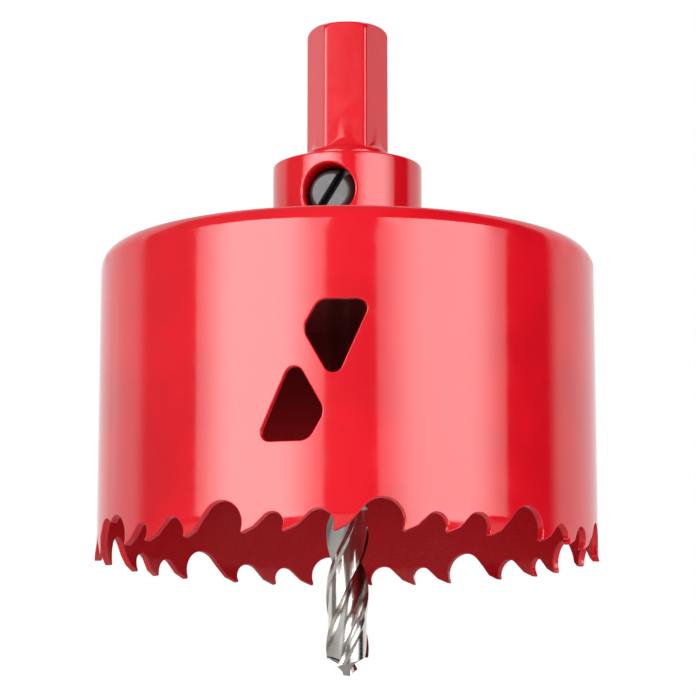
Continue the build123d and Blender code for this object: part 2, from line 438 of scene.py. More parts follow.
# The band's inner side takes the dust grain and the painted shade inside the cup.
band_paint = red_paint(
    "band_paint", RED, 0.10, 0.006, 0.0,
    lambda out, up: out.ramp((inner_face - 0.2) * MM, (inner_face + 0.2) * MM, 1.0, 0.0)
    * up.ramp((plate_low[2] - 0.3) * MM, (plate_low[2] + 0.3) * MM, 1.0, 0.0),
)
# The plate's underside lies high up in the cup, so it takes the darkest painted shade.
plate_paint = red_paint(
    "plate_paint", RED, 0.16, 0.010, 1.0,
    lambda out, up: up.ramp((plate_low[2] + 0.2) * MM, (plate_low[2] + 0.6) * MM, 1.0, 0.0),
)
arbor_paint = red_paint("arbor_paint", RED, 0.11, 0.008, 2.0)

# %% [markdown]
# ## Bare and blackened steel
#
# The drill is ground bright: the wheel leaves fine lines, and it is these that stretch a highlight. The screw is
# blackened in hot oxide, a thin matt skin that wears to grey on its face.

# %% Steels
RUBBED = (8.6, 9.5)


def ground_steel():
    """Bright steel: fine scratches that run round the drill, with a faint warm and cool drift."""
    finish = Finish("ground_steel")
    lines = finish.noise(0.5, 3, 0.6, stretch=(6, 6, 0.25))
    drift = finish.noise(4, 2, 0.5, seed=5)
    colour = finish.blend(drift.ramp(0.3, 0.7), (0.60, 0.57, 0.53, 1), (0.74, 0.72, 0.69, 1))
    return finish.set(
        Base_Color=colour,
        Metallic=1.0,
        Roughness=lines.ramp(0.3, 0.7, 0.12, 0.24),
        Normal=finish.bump(lines, 0.003),
    )


def black_oxide():
    """Dark oxide skin with a grain. It is rubbed grey by how far a place lies out along the screw, in metres."""
    finish = Finish("black_oxide")
    grain = finish.noise(0.35, 3, 0.6)
    cloud = finish.noise(1.6, 3, 0.55, seed=4)
    axis = tuple(float(v) for v in around(SCREW_ANGLE)[0])
    out_along = finish.node("ShaderNodeVectorMath", {"operation": "DOT_PRODUCT"}, {0: finish.places, 1: axis}, 1)
    rubbed = out_along.ramp(RUBBED[0] * MM, RUBBED[1] * MM)
    grey = finish.blend(cloud.ramp(0.3, 0.7), (0.085, 0.087, 0.09, 1), (0.10, 0.10, 0.10, 1))
    return finish.set(
        Base_Color=finish.blend(rubbed, (0.012, 0.012, 0.013, 1), grey),
        Metallic=rubbed * 0.35,
        Roughness=grain.ramp(0.2, 0.8, 0.30, 0.44),
        Normal=finish.bump(grain, 0.008),
    )


drill_steel = ground_steel()
screw_oxide = black_oxide()

# %% [markdown]
# ## The toothed edge
#
# The teeth come in groups of three with unequal pitches, so that the saw doesn't ring. Each gap is a land that slopes
# back from a tip, a round bottom and the raked face of the next tooth. The strip begins and ends inside a coarse
# gap, where the weld joins it, and the two gaps meet there in a low cusp. One tooth stands straight, the next is bent
# outwards and the third inwards, which makes the cut wider than the wall.

# %% Sizes of the band
WALL = 1.1
PAINT_EDGE = 0.18
TIP_ROUND = 0.24
BAND_RADIUS = plate_high[0] + WALL
BAND_TOP = band_high[2]
CUP_HEIGHT = 46.0
TIP_HEIGHT = BAND_TOP - CUP_HEIGHT
RAKE = math.radians(8.0)
LAND = np.array([2.0, 0.75])
TIP_REACH = np.array([-0.14, -0.18])
FIRST_TOOTH = -58.7
TOOTH_GROUPS = 10
GAPS = {"fine": (9.5, 2.7, 1.6, 0.5), "middle": (10.8, 3.0, 2.05, -0.4), "coarse": (15.05, 4.6, 3.15, 0.0)}
BEND_HEIGHT = 2.5
SEAM_ANGLE = -66.2

# %% The toothed edge


def gap_outline(angle, pitch, depth, radius):
    """Corners of the gap that leads up to the tooth at an angle, and which of them is the tip.

    The points are (distance round the wall, height over the tips). The round bottom touches the raked face and
    the slope that comes up from the land, so its ends follow from its centre.
    """
    half = BAND_RADIUS * math.sin(math.radians(pitch) / 2)
    face = (depth - radius - radius * math.sin(RAKE)) / math.cos(RAKE)
    centre = np.array([half + face * math.sin(RAKE) - radius * math.cos(RAKE), depth - radius])
    land_end = np.array([LAND[0] - half, LAND[1]])
    reach = centre - land_end
    slope = math.atan2(reach[1], reach[0]) + math.asin(radius / math.hypot(*reach))
    turn = np.linspace(slope + math.pi / 2, -RAKE, 14)
    bottom = centre + radius * np.stack([np.cos(turn), np.sin(turn)], -1)
    flat = np.concatenate([land_end[None], bottom, [[half, 0.0]]])
    middle = BAND_RADIUS * math.radians(angle - pitch / 2)
    return np.stack([middle + BAND_RADIUS * np.arcsin(flat[:, 0] / BAND_RADIUS), flat[:, 1]], -1)


order = ["coarse"] + ["fine", "middle", "coarse"] * TOOTH_GROUPS
tooth_angles = FIRST_TOOTH + np.cumsum([0.0] + [GAPS[kind][0] for kind in order[1:]])
gaps = [gap_outline(angle, *GAPS[kind][:3]) for angle, kind in zip(tooth_angles, order)]
round_trip = np.array([2 * math.pi * BAND_RADIUS, 0.0])

# the two gaps at the weld meet where the one is as high as the other
last_rise = gaps[-1][1:-1] - round_trip
span = np.linspace(gaps[0][0, 0], last_rise[-1, 0], 500)
first_height = np.interp(span, gaps[0][:8, 0], gaps[0][:8, 1])
last_height = np.interp(span, last_rise[:, 0], last_rise[:, 1])
cusp = np.array([span, first_height])[:, np.argmin(np.abs(first_height - last_height))]
after_cusp = gaps[0][gaps[0][:, 0] > cusp[0] + 0.1]
before_cusp = gaps[-1][gaps[-1][:, 0] < cusp[0] + round_trip[0] - 0.1]
print("the cusp at the weld lies", round(float(cusp[1]), 2), "mm over the tips")

# the ring is laid out flat from the top of one gap, once round, to the same place
CUT_GAP = 20
cut = int(np.argmax(gaps[CUT_GAP][:, 1]))
ahead = [gaps[CUT_GAP][cut:]] + gaps[CUT_GAP + 1 : -1] + [before_cusp]
behind = [after_cusp] + gaps[1:CUT_GAP] + [gaps[CUT_GAP][: cut + 1]]
corners = np.concatenate(ahead + [(cusp + round_trip)[None]] + [part + round_trip for part in behind])
turn_at = np.arctan2(*np.diff(corners, axis=0).T[::-1])
sharp = np.concatenate([[0], np.abs(np.diff(turn_at)), [0]])
is_tip = (sharp > 1.2) & (corners[:, 1] < 1)
is_heel = np.roll(is_tip, 1)
corners[is_tip] += TIP_REACH
radii = np.where(is_tip, TIP_ROUND, np.where(is_heel, 0.6, np.where(sharp > 1.2, 0.3, 0.0)))
edge = subdivide(soften(corners, radii), 0.4)
edge = edge[: len(edge) - np.argmax(edge[::-1, 0])]
print(int(is_tip.sum()), "teeth;", len(edge), "points along the toothed edge")

# %% [markdown]
# ## Windows
#
# The windows come in pairs that turn into each other by half a turn. They let chips fall out, and a screwdriver put
# through them pushes the plug out. Each is a skewed four-sided hole with its own radius at each corner.

# %% Sizes of the windows
WINDOW_PAIRS = 3
PAIR_ANGLE = -7.26
PAIR_HEIGHT = 22.5
WINDOW_SHIFT = 3.3
WINDOW_CORNERS = np.array([(-2.55, 9.95), (4.9, 9.95), (-0.43, -2.14), (-4.9, 5.85)])
WINDOW_RADII = np.array([2.1, 1.3, 1.35, 2.3])

# %% The windows' outlines


def window_outline(pair, side):
    """One window: the corners, turned by side = 1 or -1, carried from the flat plane to distances round the wall."""
    flat = soften(WINDOW_CORNERS * side, WINDOW_RADII, 9)
    middle = math.radians(PAIR_ANGLE + 360 / WINDOW_PAIRS * pair) * BAND_RADIUS + side * WINDOW_SHIFT
    middle += round_trip[0] * np.ceil((edge[0, 0] - middle + 8) / round_trip[0])
    rolled = BAND_RADIUS * np.arcsin(flat[:, 0] / BAND_RADIUS)
    return subdivide(np.stack([middle + rolled, PAIR_HEIGHT + flat[:, 1]], -1), 0.5)


windows = [window_outline(pair, side) for pair in range(WINDOW_PAIRS) for side in (1, -1)]
print(len(windows), "windows, about", round(float(np.ptp(windows[0][:, 0])), 1), "mm wide")

# %% [markdown]
# ## From the flat strip to the band
#
# One function carries a point of the flat strip to its place in space: round the cylinder, over the ground shoulder
# at the closed end, and outwards or inwards where a tooth is bent. Two faults of the real thing belong to it as well.
# At the weld the ring was ground, which left a long lens-shaped flat, and the bead at the shoulder is a little bumpy.

# %% Sizes of the shoulder and the weld
SHOULDER_HEIGHT = 2.2
SHOULDER_RADIUS = (SHOULDER_HEIGHT**2 + WALL**2) / (2 * WALL)
SHOULDER_START = CUP_HEIGHT - SHOULDER_HEIGHT
SHOULDER_LENGTH = SHOULDER_RADIUS * math.asin(SHOULDER_HEIGHT / SHOULDER_RADIUS)
WELD_FLAT = 0.03
WELD_MIDDLE, WELD_REACH = 22.0, 24.0
BEAD_DEPTH = 0.07
BEAD_WAVES = np.array([5, 9, 14, 23, 31, 44, 61])

# %% The band in space
gap_tops = np.array([gap[np.argmax(gap[:, 1]), 0] for gap in gaps])
tooth_set = np.array([GAPS[kind][3] for kind in order])
bead_phase = np.random.default_rng(4).uniform(0, 2 * math.pi, len(BEAD_WAVES))


def bend(s, h):
    """How far a tooth leans out: its set * ((BEND_HEIGHT - h) / BEND_HEIGHT) ** 1.2 below the bend."""
    s = np.where(s > gap_tops[-1], s - round_trip[0], s)
    tooth = np.clip(np.searchsorted(gap_tops, s) - 1, 0, len(tooth_set) - 1)
    return tooth_set[tooth] * np.clip((BEND_HEIGHT - h) / BEND_HEIGHT, 0, 1.2) ** 1.2


def weld_flat(s, h):
    """The ground flat at the weld: a plane WELD_FLAT inside the circle at mid-height, and less above and below."""
    turn = (s / BAND_RADIUS - math.radians(SEAM_ANGLE) + math.pi) % (2 * math.pi) - math.pi
    sunk = WELD_FLAT * np.clip(1 - ((h - WELD_MIDDLE) / WELD_REACH) ** 2, 0, 1)
    plane = (BAND_RADIUS - sunk) / np.cos(np.clip(turn, -0.3, 0.3))
    return np.minimum(plane - BAND_RADIUS, 0)


def bead(s, h):
    """Waves round the shoulder's lower edge, which fade away within about a millimetre above and below.

    They end at exactly nothing on the top rim, where the outer skin has to meet the inner one.
    """
    angle = (s / BAND_RADIUS)[..., None]
    waves = np.sum(np.sin(BEAD_WAVES * angle + bead_phase) / np.sqrt(BEAD_WAVES), axis=-1)
    to_rim = 1 - np.clip((h - SHOULDER_START) / SHOULDER_LENGTH, 0, 1) ** 4
    return BEAD_DEPTH * waves * to_rim * np.exp(-(((h - SHOULDER_START - 0.3) / 0.8) ** 2))


def on_band(s, h, depth):
    """A point of the band from its distance round the wall, its height over the tips and its depth under the skin."""
    turn = np.clip(h - SHOULDER_START, 0, SHOULDER_LENGTH) / SHOULDER_RADIUS
    rise = np.minimum(h, SHOULDER_START) + SHOULDER_RADIUS * np.sin(turn)
    shoulder = SHOULDER_RADIUS * (1 - np.cos(turn)) * (1 - depth / WALL)
    skin = (weld_flat(s, h) + bead(s, h)) * (1 - depth / WALL)
    radius = BAND_RADIUS - depth - shoulder + skin + bend(s, h)
    out, _ = around(np.degrees(s / BAND_RADIUS))
    return out * radius[:, None] + np.array([0, 0, 1]) * (TIP_HEIGHT + rise)[:, None]


# %% Build the band
SKIN_COLUMNS = 216
SIDE_STEPS = 40

skin_top = SHOULDER_START + SHOULDER_LENGTH
edge_inward = into_metal(edge, closed=False)
edge_inward[[0, -1]] = (0, 1)
inset_edge = edge + edge_inward * PAINT_EDGE
inset_windows = [loop + into_metal(loop) * PAINT_EDGE for loop in windows]
side_heights = np.linspace(inset_edge[0, 1], skin_top, SIDE_STEPS)
right_side = np.stack([np.full(SIDE_STEPS, inset_edge[-1, 0]), side_heights], -1)
left_side = np.stack([np.full(SIDE_STEPS, inset_edge[0, 0]), side_heights], -1)
top_columns = np.linspace(inset_edge[0, 0], inset_edge[-1, 0], SKIN_COLUMNS + 1)
top_side = np.stack([top_columns, np.full(SKIN_COLUMNS + 1, skin_top)], -1)
border = np.concatenate([inset_edge, right_side[1:], top_side[::-1][1:], left_side[::-1][1:-1]])

wall_rows = np.concatenate([np.arange(5.0, 43.4, 1.2), SHOULDER_START + np.linspace(-0.3, SHOULDER_LENGTH, 9)[:-1]])
wall_lattice = np.stack(np.meshgrid(top_columns[1:-1], wall_rows), -1).reshape(-1, 2)
tooth_columns = np.linspace(top_columns[0], top_columns[-1], 2 * SKIN_COLUMNS + 1)[1:-1]
tooth_lattice = np.stack(np.meshgrid(tooth_columns, np.arange(0.4, 4.5, 0.5)), -1).reshape(-1, 2)
flat, triangles = fill(border, inset_windows, np.concatenate([wall_lattice, tooth_lattice]), 0.3)

outer = (on_band(*flat.T, 0.0), triangles, skin_normals(flat, 0.0, on_band))
inner = (on_band(*flat.T, WALL), triangles[:, ::-1], -skin_normals(flat, WALL, on_band))
over = quarter_round(PAINT_EDGE)
under = [(inset, WALL - depth, math.pi - lean) for inset, depth, lean in over[::-1]]
band_parts = [outer, inner, rim_strip(edge, edge_inward, False, over + under, on_band)]
band_parts += [rim_strip(loop, into_metal(loop), True, over + under, on_band) for loop in windows]
band_points, band_faces, band_normals = assemble(band_parts)
make_piece("band", "saw_band", band_points, band_faces, band_paint, band_normals)

# %% [markdown]
# ## The plate
#
# The plate closes the cup. Its top is flush with the ground shoulder, and the joint shows as a shallow line under the
# paint. It is turned from one profile.

# %% The plate
ROUND_COLUMNS = 240


def turned(profile, columns=ROUND_COLUMNS, first_angle=0.0):
    """A profile of (radius, height) points carried round the axis: (r sin a, -r cos a, z)."""
    out, _ = around(first_angle + np.arange(columns) * 360 / columns)
    radius, height = profile.T
    points = out[None] * radius[:, None, None] + np.array([0, 0, 1]) * height[:, None, None]
    return points.reshape(-1, 3), grid_faces(len(profile), columns)


def polyline(points, step=1.5):
    """Points along a path of straight sides."""
    return subdivide(np.array(points, float), step, closed=False)


SPIGOT_RADIUS = 8.0
JOINT_GROOVE = 0.12
plate_profile = polyline(
    [
        (SPIGOT_RADIUS, plate_low[2]),
        (plate_high[0] - 0.3, plate_low[2]),
        (plate_high[0], plate_low[2] + 0.3),
        (plate_high[0], plate_high[2] - JOINT_GROOVE),
        (plate_high[0] - 2 * JOINT_GROOVE, plate_high[2]),
        (SPIGOT_RADIUS, plate_high[2]),
        (SPIGOT_RADIUS, plate_low[2]),
    ]
)
plate_points, plate_faces = turned(plate_profile)
make_piece("plate", "base_plate", plate_points, [plate_faces], plate_paint)

# %% [markdown]
# ## The arbor
#
# A hexagonal bar is turned down to a round collar. Both forms meet on one surface if the radius at each angle and
# height is the lesser of the hexagon and what the lathe left, and the greater of that and the hollow at the root.
# Rounded versions of lesser and greater give every edge the softness of paint. The collar's wall has a hole in it, so
# it is a rolled skin like the band.

# %% Sizes of the arbor
ACROSS_FLATS = 10.9
ACROSS_CORNERS = 12.5
SHANK_TURN = -4.0
SHANK_CHAMFER = 1.3
SHANK_TOP = arbor_high[2]
COLLAR_RADIUS = arbor_high[0]
COLLAR_EDGE = 0.3
BOSS_RADIUS = 6.32
BOSS_TOP = 2.1
ROOT_TOP = 4.0
NECK = ACROSS_FLATS / 2 - 0.02
SCREW_HEIGHT = (screw_low[2] + screw_high[2]) / 2
SCREW_RADIUS = (screw_high[2] - screw_low[2]) / 2
HOLE_RADIUS = SCREW_RADIUS + 0.05
HOLE_EDGE = 0.35
BORE_RADIUS = 3.2
BORE_END = -0.5
SOFT = 0.15

# %% The shank and the collar's top


def lesser(a, b, soft=SOFT):
    """The smaller of two lengths, with a rounded corner between them.

    It is min(a, b) less the square of max(soft - |a - b|, 0), over 4 * soft.
    """
    return np.minimum(a, b) - np.maximum(soft - np.abs(a - b), 0) ** 2 / (4 * soft)


def greater(a, b, soft=SOFT):
    """The larger of two lengths, with the corner between them rounded."""
    return -lesser(-a, -b, soft)


COLUMNS = 360
column_angles = SCREW_ANGLE + np.arange(COLUMNS) * 360 / COLUMNS
in_flat = (column_angles - SHANK_TURN + 30) % 60 - 30
hexagon = ACROSS_FLATS / 2 / np.cos(np.radians(in_flat))

edge_turn = np.linspace(0, math.pi / 2, 6)
root_turn = np.linspace(0, math.pi / 2, 22)
end_turn = np.linspace(0, math.pi / 2, 18)
collar_path = np.stack(
    [COLLAR_RADIUS - COLLAR_EDGE * (1 - np.cos(edge_turn)), COLLAR_EDGE * (np.sin(edge_turn) - 1)], -1
)
boss_path = np.array([[0.25, 0.0], [0.08, 0.06], [0.0, 0.22], [0.0, 1.1], [0.0, BOSS_TOP - 0.12]])
boss_path[:, 0] += BOSS_RADIUS
hollow = np.array([BOSS_RADIUS - 0.05 - NECK, ROOT_TOP - BOSS_TOP])
hollow_path = (NECK, BOSS_TOP) + hollow * np.stack([1 - np.sin(root_turn), 1 - np.cos(root_turn)], -1)
root_path = np.concatenate([boss_path, hollow_path])
bar_heights = np.concatenate(
    [np.linspace(ROOT_TOP, SHANK_TOP - SHANK_CHAMFER, 12)[1:], SHANK_TOP - SHANK_CHAMFER * np.cos(end_turn[1:-1])]
)
chamfer_rise = np.clip((bar_heights - SHANK_TOP) / SHANK_CHAMFER + 1, 0, 1)
bar_limit = ACROSS_CORNERS / 2 - SHANK_CHAMFER * (1 - np.sqrt(1 - chamfer_rise**2))
end_path = np.array([[ACROSS_CORNERS / 2 - SHANK_CHAMFER, SHANK_TOP], [2.0, SHANK_TOP], [0.0, SHANK_TOP]])

heights = np.concatenate([collar_path[:, 1], root_path[:, 1], bar_heights, end_path[:, 1]])
swell = np.concatenate([collar_path[:, 0], root_path[:, 0], np.full(len(bar_heights) + len(end_path), 0.0)])
limit = np.concatenate(
    [np.full(len(collar_path) + len(root_path), ACROSS_CORNERS / 2), bar_limit, end_path[:, 0]]
)
limit = np.minimum.accumulate(limit)
shank_radius = greater(swell[:, None], lesser(hexagon[None], limit[:, None]))
shank_radius[-1] = 0
shank_radius[0] = COLLAR_RADIUS
out, _ = around(column_angles)
shank_points = out[None] * shank_radius[..., None] + np.array([0, 0, 1]) * heights[:, None, None]
shank = (shank_points.reshape(-1, 3), grid_faces(len(heights), COLUMNS))

# %% The collar's wall and what is below it
screw_out, screw_along = around(SCREW_ANGLE)
COLLAR_FOOT = arbor_high[2] - SHANK_TOP + plate_high[2] + 0.3


def on_collar(s, h, depth):
    """A point of the collar's wall. Depth runs straight along the hole, so that the hole stays round."""
    turn = (s / COLLAR_RADIUS)[:, None]
    ahead = screw_out * (COLLAR_RADIUS * np.cos(turn) - depth) + screw_along * COLLAR_RADIUS * np.sin(turn)
    return ahead + np.array([0, 0, 1]) * h[:, None]


hole_turn = np.linspace(0, -2 * math.pi, 97)[:-1]
hole = np.stack(
    [
        COLLAR_RADIUS * np.arcsin(HOLE_RADIUS * np.cos(hole_turn) / COLLAR_RADIUS),
        SCREW_HEIGHT + HOLE_RADIUS * np.sin(hole_turn),
    ],
    -1,
)
half_round = math.pi * COLLAR_RADIUS
wall_columns = (np.arange(COLUMNS + 1) - COLUMNS // 2) * 2 * half_round / COLUMNS
wall_foot = np.stack([wall_columns, np.full(COLUMNS + 1, COLLAR_FOOT)], -1)
wall_head = np.stack([wall_columns, np.full(COLUMNS + 1, -COLLAR_EDGE)], -1)
wall_side = np.linspace(COLLAR_FOOT, -COLLAR_EDGE, 14)
wall_left = np.stack([np.full(14, wall_columns[0]), wall_side], -1)
wall_right = np.stack([np.full(14, wall_columns[-1]), wall_side], -1)
collar_border = np.concatenate([wall_foot, wall_right[1:], wall_head[::-1][1:], wall_left[::-1][1:-1]])
collar_lattice = np.stack(np.meshgrid(wall_columns[1:-1:2], wall_side[1:-1]), -1).reshape(-1, 2)
hole_inset = hole + into_metal(hole) * HOLE_EDGE
flat, triangles = fill(collar_border, [hole_inset], collar_lattice, 0.25)
skin = (on_collar(*flat.T, 0.0), triangles, skin_normals(flat, 0.0, on_collar))
DEEP = COLLAR_RADIUS - BORE_RADIUS - 0.1
mouth = quarter_round(HOLE_EDGE, 7) + [(0.0, depth, math.pi / 2) for depth in (1.5, 3.0, 5.5, DEEP)]
mouth_strip = rim_strip(hole, into_metal(hole), True, mouth, on_collar)
print("the hole in the collar is", round(2 * HOLE_RADIUS, 1), "mm wide and its mouth is rounded by", HOLE_EDGE)

# %% Build the arbor
lower_path = polyline(
    [
        (0, BORE_END),
        (BORE_RADIUS, BORE_END),
        (BORE_RADIUS, arbor_low[2] + 0.2),
        (BORE_RADIUS + 0.2, arbor_low[2]),
        (SPIGOT_RADIUS - 0.2, arbor_low[2]),
        (SPIGOT_RADIUS, arbor_low[2] + 0.2),
        (SPIGOT_RADIUS, plate_high[2]),
        (COLLAR_RADIUS - 0.3, plate_high[2]),
        (COLLAR_RADIUS, COLLAR_FOOT),
    ]
)
lower = turned(lower_path, COLUMNS, SCREW_ANGLE)
cap_ring = np.arange(len(hole))
cap_centre = on_collar(np.array([0.0]), np.array([SCREW_HEIGHT]), DEEP)
cap_points = np.concatenate([mouth_strip[0][-len(hole) :], cap_centre])
cap_faces = np.stack([np.roll(cap_ring, -1), cap_ring, np.full(len(hole), len(hole))], -1)


def without_normals(*parts):
    """Points and faces of several parts that are shaded by their own faces."""
    count = np.cumsum([0] + [len(part[0]) for part in parts[:-1]])
    return np.concatenate([part[0] for part in parts]), [part[1] + n for part, n in zip(parts, count)]


arbor_points, arbor_faces = without_normals(skin, mouth_strip, (cap_points, cap_faces), shank, lower)
make_piece("arbor_bar", "arbor", arbor_points, arbor_faces, arbor_paint)

# %% [markdown]
# ## The set screw
#
# A headless screw with a slot. Its end is a height over a disc: rows run along the slot, each as long as the disc
# is wide there, and they crowd together at the slot's two edges, so that the edges stay crisp but not razor sharp.

# %% The set screw
SCREW_OUTER = COLLAR_RADIUS - 1.7
SCREW_INNER = 3.225
SCREW_CHAMFER = 1.1
CHAMFER_STEEP = 1.5
SLOT_WIDTH = 1.15
SLOT_DEPTH = 2.0
SLOT_TURN = math.radians(57.0)
SLOT_ROWS = SLOT_WIDTH / 2 + np.array([-0.25, -0.12, -0.06, -0.02, 0.02, 0.06, 0.1, 0.2])


def on_screw(across, up, reach):
    """A point of the screw: across and up on its face, which is turned so that the slot lies level, and its reach."""
    level = across * math.cos(SLOT_TURN) - up * math.sin(SLOT_TURN)
    rise = across * math.sin(SLOT_TURN) + up * math.cos(SLOT_TURN)
    flat = screw_along * level[..., None] + screw_out * reach[..., None]
    return flat + np.array([0, 0, 1]) * (SCREW_HEIGHT + rise)[..., None]


def face_height(across, up):
    """The face less the deeper of its chamfer and its slot, with soft corners."""
    radius = np.hypot(across, up)
    chamfer = greater(0.0, CHAMFER_STEEP * (radius - SCREW_RADIUS + SCREW_CHAMFER), 0.25)
    share = np.clip((np.abs(up) - SLOT_WIDTH / 2 + 0.03) / 0.06, 0, 1)
    slot = SLOT_DEPTH * (1 - share**2 * (3 - 2 * share))
    return SCREW_OUTER - np.maximum(chamfer, slot)


row_turn = np.linspace(-math.pi / 2, math.pi / 2, 49)
rows = np.unique(np.concatenate([SCREW_RADIUS * np.sin(row_turn), SLOT_ROWS, -SLOT_ROWS]))
rows[[0, -1]] = (-SCREW_RADIUS, SCREW_RADIUS)
half_chord = np.sqrt(np.maximum(SCREW_RADIUS**2 - rows**2, 0))
places = np.sin(np.linspace(-math.pi / 2, math.pi / 2, 61))
across, up = half_chord[:, None] * places, np.broadcast_to(rows[:, None], (len(rows), len(places)))
end_points = on_screw(across, up, face_height(across, up))
end_face = (end_points.reshape(-1, 3), grid_faces(*across.shape, wrap=False))

rim_across = np.concatenate([across[:, -1], across[::-1, 0]])
rim_up = np.concatenate([rows, rows[::-1]])
rim_height = face_height(rim_across, rim_up)
screw_steps = [(1.0, None), (1.0, SCREW_INNER + 1.1), (0.72, SCREW_INNER), (0.0, SCREW_INNER)]
screw_rings = [
    on_screw(rim_across * share, rim_up * share, rim_height if reach is None else np.full(len(rim_up), reach))
    for share, reach in screw_steps
]
screw_side = np.stack(screw_rings)
side_faces = grid_faces(len(screw_steps), len(rim_up))[:, ::-1]
screw_points, screw_faces = without_normals(end_face, (screw_side.reshape(-1, 3), side_faces))
make_piece("slotted_screw", "set_screw", screw_points, screw_faces, screw_oxide)

# %% [markdown]
# ## The pilot drill
#
# A twist drill is one outline drawn along a screw line. The outline has two flutes, each an arc of a circle that the
# grinding wheel leaves, and two lands. Only a narrow margin of a land has the full diameter, and the rest is ground
# back. Near the top the wheel runs out, so the flute's circle moves away from the axis until it no longer cuts.

# %% Sizes of the drill
DRILL_RADIUS = drill_high[0]
DRILL_TIP = drill_low[2]
DRILL_TOP = drill_high[2]
POINT = math.radians(135.0) / 2
HELIX = math.radians(30.0)
WEB = 1.2
FLUTE_HALF = math.radians(92.0) / 2
FLUTE_TURN = math.radians(2.8)
FLUTE_DEEP = DRILL_RADIUS * math.cos(FLUTE_HALF) - WEB / 2
FLUTE_RADIUS = ((DRILL_RADIUS * math.sin(FLUTE_HALF)) ** 2 + FLUTE_DEEP**2) / (2 * FLUTE_DEEP)
FLUTE_REACH = WEB / 2 + FLUTE_RADIUS
RUN_OUT = (TIP_HEIGHT + 1.5, TIP_HEIGHT + 8.5)
MARGIN = math.radians(13)
LAND_RELIEF = 0.30
RELIEF_TOP = TIP_HEIGHT + 7.9
RELIEF = math.radians(16.5)
TOP_CHAMFER = 0.3
SCREW_PITCH = 2 * math.pi * DRILL_RADIUS / math.tan(HELIX)
FLUTE_STEPS, LAND_STEPS = 26, 22

# %% The drill's outline and point


def flute_reach(z):
    """How far the flute's circle stands from the axis: constant, then growing with the square of the run-out."""
    gone = np.clip((z - RUN_OUT[0]) / (RUN_OUT[1] - RUN_OUT[0]), 0, 1)
    return FLUTE_REACH + (DRILL_RADIUS + FLUTE_RADIUS - FLUTE_REACH) * gone**2 * 0.9999


def section(z):
    """The outline at a height, before it is turned: flute, land, flute, land, in (x, y)."""
    reach = flute_reach(z)[:, None]
    edge_cos = (reach**2 + DRILL_RADIUS**2 - FLUTE_RADIUS**2) / (2 * reach * DRILL_RADIUS)
    half = np.arccos(np.clip(edge_cos, -1, 1))
    spread = np.arctan2(DRILL_RADIUS * np.sin(half), reach - DRILL_RADIUS * np.cos(half))
    swing = spread * np.linspace(-1, 1, FLUTE_STEPS)
    flute_x, flute_y = reach - FLUTE_RADIUS * np.cos(swing), FLUTE_RADIUS * np.sin(swing)
    share = np.linspace(0, 1, LAND_STEPS + 2)[1:-1]
    land_turn = half + (math.pi - 2 * half) * share
    past = (land_turn - half - MARGIN) / math.radians(3)
    ground = LAND_RELIEF * np.clip(past, 0, 1) * np.clip((RELIEF_TOP - z) / 0.5, 0, 1)[:, None]
    land_x, land_y = (DRILL_RADIUS - ground) * np.cos(land_turn), (DRILL_RADIUS - ground) * np.sin(land_turn)
    x = np.concatenate([flute_x, land_x, -flute_x, -land_x], axis=1)
    y = np.concatenate([flute_y, land_y, -flute_y, -land_y], axis=1)
    return x, y


def twisted(x, y, z):
    """The outline turned by 360 degrees in each pitch, with the flutes facing about +X and -X at the tooth tips.

    Above the flutes the drill is a plain bar, so the turn stays as it is at their upper end.
    """
    turn = FLUTE_TURN + 2 * math.pi * (np.minimum(z, RUN_OUT[1]) - TIP_HEIGHT) / SCREW_PITCH
    return np.stack([x * np.cos(turn) - y * np.sin(turn), x * np.sin(turn) + y * np.cos(turn), z], -1)


lip_at = FLUTE_TURN + 2 * math.pi * (DRILL_TIP + 1.4 - TIP_HEIGHT) / SCREW_PITCH + FLUTE_HALF


def point_height(x, y):
    """The ground point: a cone whose two halves each rise behind their lip, by the angle times R * tan(RELIEF)."""
    radius = np.hypot(x, y)
    behind = (np.arctan2(y, x) - lip_at + 0.35) % math.pi - 0.35
    rise = DRILL_RADIUS * math.tan(RELIEF) * behind * np.clip(radius / WEB, 0, 1)
    return DRILL_TIP + np.sqrt(radius**2 + 0.1) / math.tan(POINT) - math.sqrt(0.1) / math.tan(POINT) + rise


# %% Build the drill
fluted_rows = np.linspace(DRILL_TIP + 2.6, RUN_OUT[0], 60)[:-1]
plain_rows = [RUN_OUT[1] + 0.3, DRILL_TOP - TOP_CHAMFER]
drill_rows = np.concatenate([fluted_rows, np.linspace(*RUN_OUT, 40), plain_rows])
side_x, side_y = section(drill_rows)
side_z = np.broadcast_to(drill_rows[:, None], side_x.shape)
side = twisted(side_x, side_y, side_z)

shoulder_z = np.full(side_x.shape[1], DRILL_TIP + 1.5)
for _ in range(6):
    shoulder = twisted(side_x[0], side_y[0], shoulder_z)
    shoulder_z = point_height(shoulder[:, 0], shoulder[:, 1])
lead = side_z[0] + (shoulder_z - side_z[0]) * np.linspace(1, 0, 12)[:-1, None]
lead_side = twisted(np.broadcast_to(side_x[0], lead.shape), np.broadcast_to(side_y[0], lead.shape), lead)
cap_share = np.linspace(0, 1, 13)[:-1, None]
cap_x = lead_side[0, :, 0] * cap_share
cap_y = lead_side[0, :, 1] * cap_share
cap = np.stack([cap_x, cap_y, point_height(cap_x, cap_y)], -1)
top = np.concatenate([side[-1:] * (0.88, 0.88, 1), side[-1:] * (0, 0, 1)]) + (0, 0, TOP_CHAMFER)
drill_grid = np.concatenate([cap, lead_side, side, top])
drill_points, drill_faces = without_normals(
    (drill_grid.reshape(-1, 3), grid_faces(drill_grid.shape[0], drill_grid.shape[1]))
)
drill = make_piece("twist_drill", "pilot_drill", drill_points, drill_faces, drill_steel)
drill.data.set_sharp_from_angle(angle=math.radians(38))

